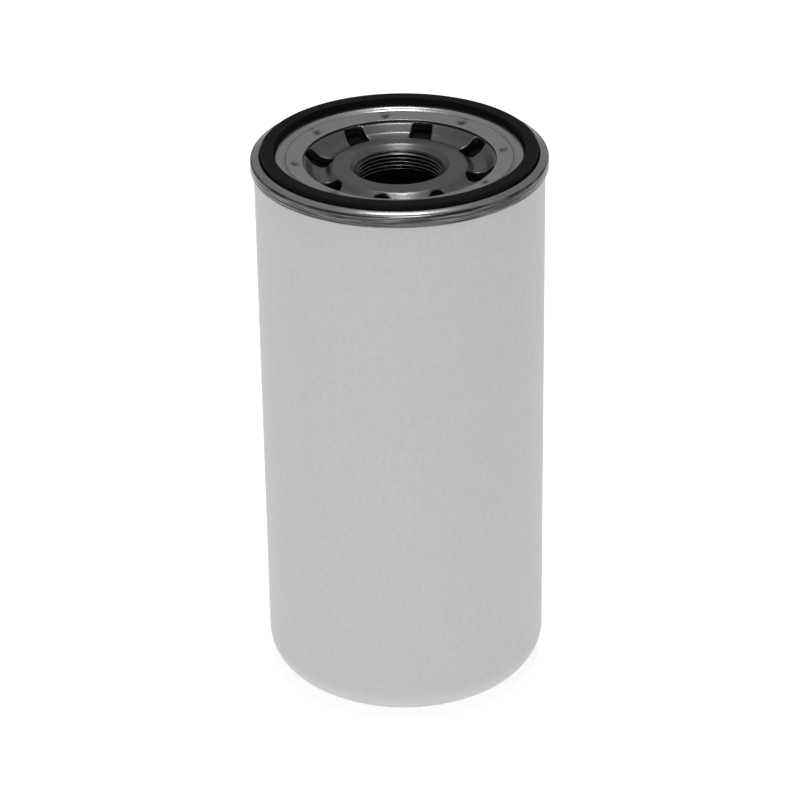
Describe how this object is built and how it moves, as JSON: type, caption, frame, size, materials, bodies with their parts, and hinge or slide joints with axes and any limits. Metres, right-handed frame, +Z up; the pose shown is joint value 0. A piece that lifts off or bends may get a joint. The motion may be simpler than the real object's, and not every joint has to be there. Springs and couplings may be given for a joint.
{
  "type": "oil filter",
  "caption": "Spin-on oil filter: drawn steel can with a threaded base plate, face gasket and a sprung pleated element with bypass and anti-drainback valves.",
  "frame": {"origin": "centre of the foot, on the surface that the filter stands on", "axes": "+Z up along the can's axis towards the thread, +X through the middle of an inlet slot"},
  "size_m": [0.1184, 0.1184, 0.2328],
  "materials": {
    "painted_steel": "satin light grey paint with a very fine mottled texture",
    "lid_steel": "bright satin sheet steel, lightly streaked by rolling",
    "plate_steel": "dull dark oiled steel",
    "gasket_rubber": "moulded black nitrile rubber",
    "sealant": "cured black sealing compound",
    "valve_rubber": "soft black nitrile rubber",
    "cap_steel": "yellow-passivated tinned sheet steel",
    "plated_steel": "zinc-plated sheet steel",
    "spring_steel": "drawn spring wire",
    "potting": "cured red-brown plastisol adhesive",
    "filter_paper": "resin-treated filter paper",
    "glue_bead": "hot-melt adhesive"
  },
  "bodies": {
    "housing": {"can": "painted_steel", "seaming_lid": "lid_steel", "seam_compound": "sealant", "base_plate": "plate_steel", "mounting_gasket": "gasket_rubber", "spring_seat": "plated_steel", "element_spring": "spring_steel"},
    "drainback_lip": {"drainback_valve": "valve_rubber"},
    "element": {"element_grommet": "valve_rubber", "top_end_cap": "cap_steel", "bottom_end_cap": "cap_steel", "top_potting": "potting", "bottom_potting": "potting", "center_tube": "plated_steel", "filter_media": "filter_paper", "media_clip": "plated_steel", "pleat_beads": "glue_bead", "bypass_seat": "cap_steel", "bypass_cage": "cap_steel", "bypass_spring": "spring_steel"},
    "bypass_valve": {"bypass_poppet": "plated_steel", "bypass_seal": "valve_rubber"}
  },
  "joints": [
    {"name": "drainback_lift", "type": "slide", "parent": "housing", "child": "drainback_lip", "axis": [0, 0, 1], "range_m": [-0.0018, 0], "stiffness_N_per_m": 600, "springref_m": 0.002},
    {"name": "element_float", "type": "slide", "parent": "housing", "child": "element", "axis": [0, 0, 1], "range_m": [-0.003, 0], "stiffness_N_per_m": 8000, "springref_m": 0.0125, "deforming": ["element_spring"]},
    {"name": "bypass_lift", "type": "slide", "parent": "element", "child": "bypass_valve", "axis": [0, 0, 1], "range_m": [0, 0.004], "stiffness_N_per_m": 3000, "springref_m": -0.01, "deforming": ["bypass_spring"]}
  ]
}
